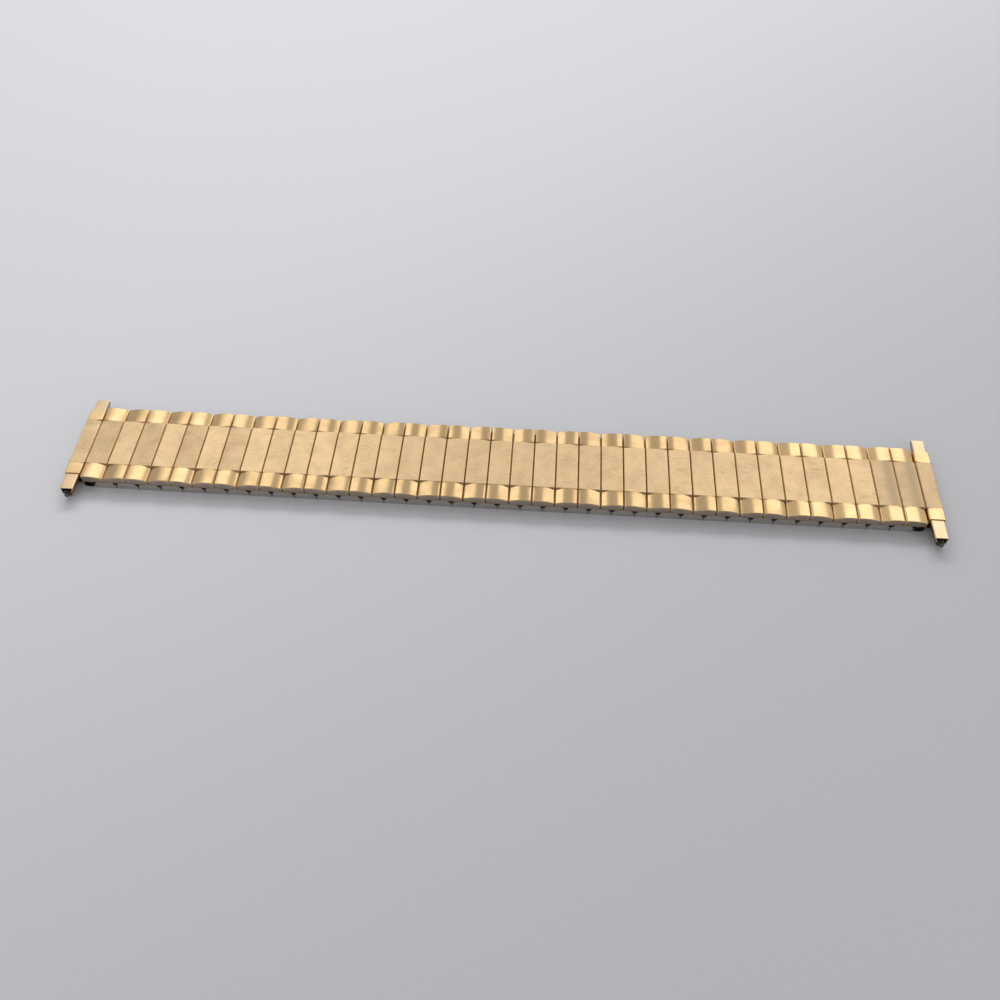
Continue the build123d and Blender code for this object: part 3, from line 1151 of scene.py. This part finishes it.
class BAND_OT_spring_bars(bpy.types.Operator):
    """Model the spring bars inside the ends"""

    bl_idname = "band.spring_bars"
    bl_label = "Spring Bars"

    def execute(self, context):
        ends, tip_length = context.scene.band_ends, 1.5 * MM
        for _, word in SIDES:
            node = f"spring_bar_{word}"
            low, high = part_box(node)
            centre = Vector(((low.x + high.x) / 2, 0, (low.z + high.z) / 2))
            tube_low, tube_high = low.y + tip_length, high.y - tip_length
            nothing_selected()
            bpy.ops.mesh.primitive_cylinder_add(
                vertices=24,
                radius=ends.bar,
                depth=tube_high - tube_low,
                location=(centre.x, (tube_low + tube_high) / 2, centre.z),
                rotation=(math.radians(90), 0, 0),
            )
            bar = settle(bpy.context.object, f"bar_{word}")
            open_edit(bar)
            for y, way in ((tube_low, NEAR), (tube_high, FAR)):
                self.draw_tip(ends, centre, y, way)
            close_edit()
            smooth(bar)
            dress(bar, "Steel with painted shade")
            mount(bar, f"end_{word}", "dark_steel", node)
        return {"FINISHED"}

    def draw_tip(self, ends, centre, y, way):
        """Draws the tube's end out into its crimped neck, its collar and its tip."""
        crimp, bevel, neck, collar = 0.06 * MM, 0.05 * MM, 0.48 * MM, 0.60 * MM
        pick("FACE", lambda f: abs(f.normal.y) > 0.9 and near_to(f.calc_center_median().y, y, 0.01 * MM))
        bpy.ops.mesh.inset(thickness=crimp)
        bpy.ops.transform.translate(value=(0, way * bevel, 0))
        y += way * bevel
        bpy.ops.mesh.inset(thickness=ends.bar - crimp - neck)
        before = neck
        for forward, radius in (
            (0.30, neck),
            (0.02, collar),
            (0.40, collar),
            (0.02, ends.tip),
            (0.62, ends.tip),
            (0.08, 0.8 * ends.tip),
        ):
            extrude(0, way * forward * MM, 0)
            y += way * forward * MM
            if radius != before:
                wider, here = radius / before, (centre.x, y, centre.z)
                bpy.ops.transform.resize(value=(wider, 1, wider), center_override=here)
            before = radius


class BAND_OT_stage(bpy.types.Operator):
    """Add the table, the soft light and the camera"""

    bl_idname = "band.stage"
    bl_label = "Stage"

    def execute(self, context):
        stage = context.scene.band_stage
        nothing_selected()
        bpy.ops.mesh.primitive_plane_add(size=6.0, location=(0, 0, -0.01 * MM))
        table = settle(bpy.context.object, "table_top")
        dress(table, "Pale table top")

        world = context.scene.world or bpy.data.worlds.new("Room")
        context.scene.world = world
        world.use_nodes = True
        room = world.node_tree.nodes["Background"]
        room.inputs["Color"].default_value = (0.97, 0.985, 1.0, 1.0)
        room.inputs["Strength"].default_value = stage.sky

        window = self.lamp("window_light", Vector((-0.10, 0.88, 0.80)), (1.0, 0.28), stage.key)
        window.visible_glossy = False
        for number, (turn, spread, away, level) in enumerate(STRIPS, 1):
            angle = math.radians(turn)
            width, long = 2 * away * math.tan(math.radians(spread) / 2), 1.5 * away
            place = Vector((away * math.sin(angle), 0.95 * away, away * math.cos(angle)))
            power = level * stage.strips * math.pi * width * long
            strip = self.lamp(f"strip_light_{number}", place, (width, long), power)
            strip.rotation_euler = (0, angle, 0)

        bpy.ops.object.camera_add()
        camera = bpy.context.object
        aim = Vector((0.531, -8.39, 3.0)) * MM
        turned = Matrix.Rotation(stage.azimuth, 4, "Z")
        turned @= Matrix.Rotation(math.radians(90) - stage.elevation, 4, "X")
        turned @= Matrix.Rotation(stage.roll, 4, "Z")
        back = Matrix.Translation((0, 0, stage.distance))
        camera.matrix_world = Matrix.Translation(aim) @ turned @ back
        camera.data.lens, camera.data.sensor_width = stage.lens, 36.0
        camera.data.clip_start, camera.data.clip_end = 0.01, 20.0
        context.scene.camera = camera
        context.scene.view_settings.view_transform = "Standard"
        return {"FINISHED"}

    def lamp(self, name, place, size, power):
        """A soft rectangular light that faces the band and doesn't show in the picture."""
        bpy.ops.object.light_add(type="AREA", location=place)
        lamp = bpy.context.object
        lamp.name = lamp.data.name = name
        lamp.data.shape, (lamp.data.size, lamp.data.size_y) = "RECTANGLE", size
        lamp.data.energy = power
        lamp.rotation_euler = (-place).to_track_quat("-Z", "Y").to_euler()
        lamp.visible_camera = False
        return lamp


class BAND_PT_panel(bpy.types.Panel):
    """Lists the pieces of the watch band"""

    bl_label = "Watch Band"
    bl_idname = "BAND_PT_panel"
    bl_space_type = "VIEW_3D"
    bl_region_type = "UI"
    bl_category = "Watch Band"

    def draw(self, context):
        column = self.layout.column(align=True)
        for operator in OPERATORS:
            column.operator(operator.bl_idname)


OPERATORS = (
    BAND_OT_finishes,
    BAND_OT_gold_caps,
    BAND_OT_upper_sleeves,
    BAND_OT_lower_sleeves,
    BAND_OT_bows,
    BAND_OT_leaf_springs,
    BAND_OT_housings,
    BAND_OT_sliders,
    BAND_OT_hooks,
    BAND_OT_spring_bars,
    BAND_OT_stage,
)
GROUPS = (
    ("band_links", BandLinkSizes),
    ("band_ends", BandEndSizes),
    ("band_finishes", BandFinishes),
    ("band_stage", BandStage),
)
CLASSES = (*(group for _, group in GROUPS), *OPERATORS, BAND_PT_panel)


def register():
    for kind in CLASSES:
        bpy.utils.register_class(kind)
    for name, group in GROUPS:
        setattr(bpy.types.Scene, name, PointerProperty(type=group))


def unregister():
    for name, _ in GROUPS:
        delattr(bpy.types.Scene, name)
    for kind in reversed(CLASSES):
        bpy.utils.unregister_class(kind)


def main():
    register()
    for operator in OPERATORS:
        group, name = operator.bl_idname.split(".")
        getattr(getattr(bpy.ops, group), name)()


if __name__ == "__main__":
    main()
